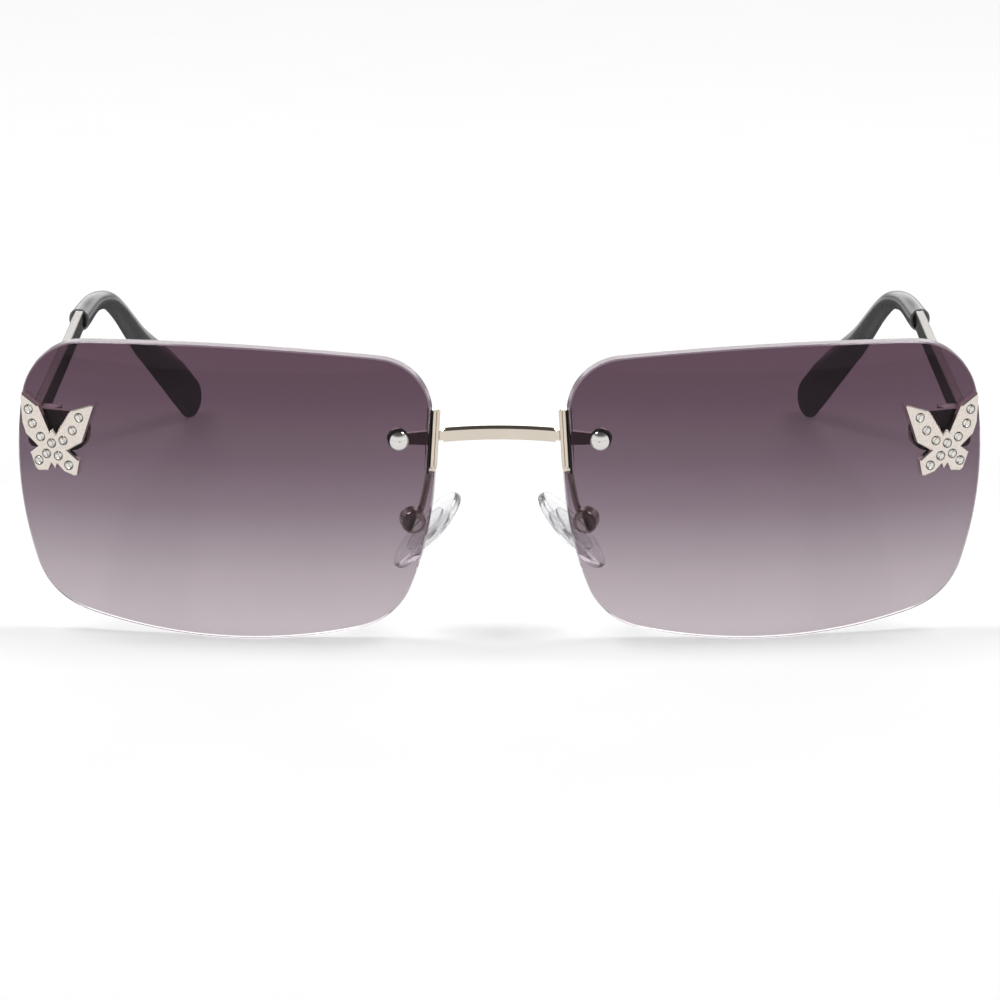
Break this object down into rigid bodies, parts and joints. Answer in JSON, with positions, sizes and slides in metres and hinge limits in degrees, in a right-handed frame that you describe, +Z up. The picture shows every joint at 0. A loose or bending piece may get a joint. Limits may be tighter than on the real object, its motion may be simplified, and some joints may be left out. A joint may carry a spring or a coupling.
{
  "type": "rimless sunglasses",
  "caption": "Rimless sunglasses with wide tinted lenses, butterfly plates set with stones, rocking nose pads and folding metal temples with curved plastic ear tips.",
  "frame": {"origin": "middle of the bounding box in plan, at the height of the table that the glasses stand on", "axes": "+X towards the wearer's left, across the lenses; +Y back along the temples towards the ears; +Z up"},
  "size_m": [0.1452, 0.1477, 0.0464],
  "materials": {
    "tinted_lens": "polished plastic lens with a smoke tint that fades to nearly clear at the bottom",
    "champagne_metal": "polished champagne-silver plating",
    "clear_plastic": "clear moulded plastic",
    "clear_silicone": "soft clear silicone",
    "clear_stone": "facetted, mirror-backed glass stones",
    "black_plastic": "polished black moulding"
  },
  "bodies": {
    "front": {"bridge_bar": "champagne_metal", "left_lens": "tinted_lens", "left_lens_bushes": "clear_plastic", "left_bridge_strap": "champagne_metal", "left_bridge_screw": "champagne_metal", "left_bridge_nut": "champagne_metal", "left_pad_arm": "champagne_metal", "left_pad_box": "champagne_metal", "left_pad_screw": "champagne_metal", "left_butterfly": "champagne_metal", "left_butterfly_stones": "clear_stone", "left_butterfly_nuts": "champagne_metal", "left_end_piece": "champagne_metal", "left_front_hinge": "champagne_metal", "left_hinge_screw": "champagne_metal", "right_lens": "tinted_lens", "right_lens_bushes": "clear_plastic", "right_bridge_strap": "champagne_metal", "right_bridge_screw": "champagne_metal", "right_bridge_nut": "champagne_metal", "right_pad_arm": "champagne_metal", "right_pad_box": "champagne_metal", "right_pad_screw": "champagne_metal", "right_butterfly": "champagne_metal", "right_butterfly_stones": "clear_stone", "right_butterfly_nuts": "champagne_metal", "right_end_piece": "champagne_metal", "right_front_hinge": "champagne_metal", "right_hinge_screw": "champagne_metal"},
    "left_temple_body": {"left_temple": "champagne_metal", "left_temple_tip": "black_plastic", "left_temple_hinge": "champagne_metal"},
    "left_pad_body": {"left_nose_pad": "clear_silicone", "left_pad_insert": "clear_plastic"},
    "right_temple_body": {"right_temple": "champagne_metal", "right_temple_tip": "black_plastic", "right_temple_hinge": "champagne_metal"},
    "right_pad_body": {"right_nose_pad": "clear_silicone", "right_pad_insert": "clear_plastic"}
  },
  "joints": [
    {"name": "left_temple_fold", "type": "hinge", "parent": "front", "child": "left_temple_body", "pos_m": [0.0677, -0.05895, 0.03185], "axis": [0, 0, 1], "range_deg": [0, 84]},
    {"name": "right_temple_fold", "type": "hinge", "parent": "front", "child": "right_temple_body", "pos_m": [-0.0677, -0.05895, 0.03185], "axis": [0, 0, -1], "range_deg": [0, 76]},
    {"name": "left_pad_rock", "type": "hinge", "parent": "front", "child": "left_pad_body", "pos_m": [0.01323, -0.06492, 0.01785], "axis": [-0.2296, -0.9511, -0.2068], "range_deg": [-8, 8]},
    {"name": "right_pad_rock", "type": "hinge", "parent": "front", "child": "right_pad_body", "pos_m": [-0.01323, -0.06492, 0.01785], "axis": [0.2296, -0.9511, -0.2068], "range_deg": [-8, 8]}
  ]
}
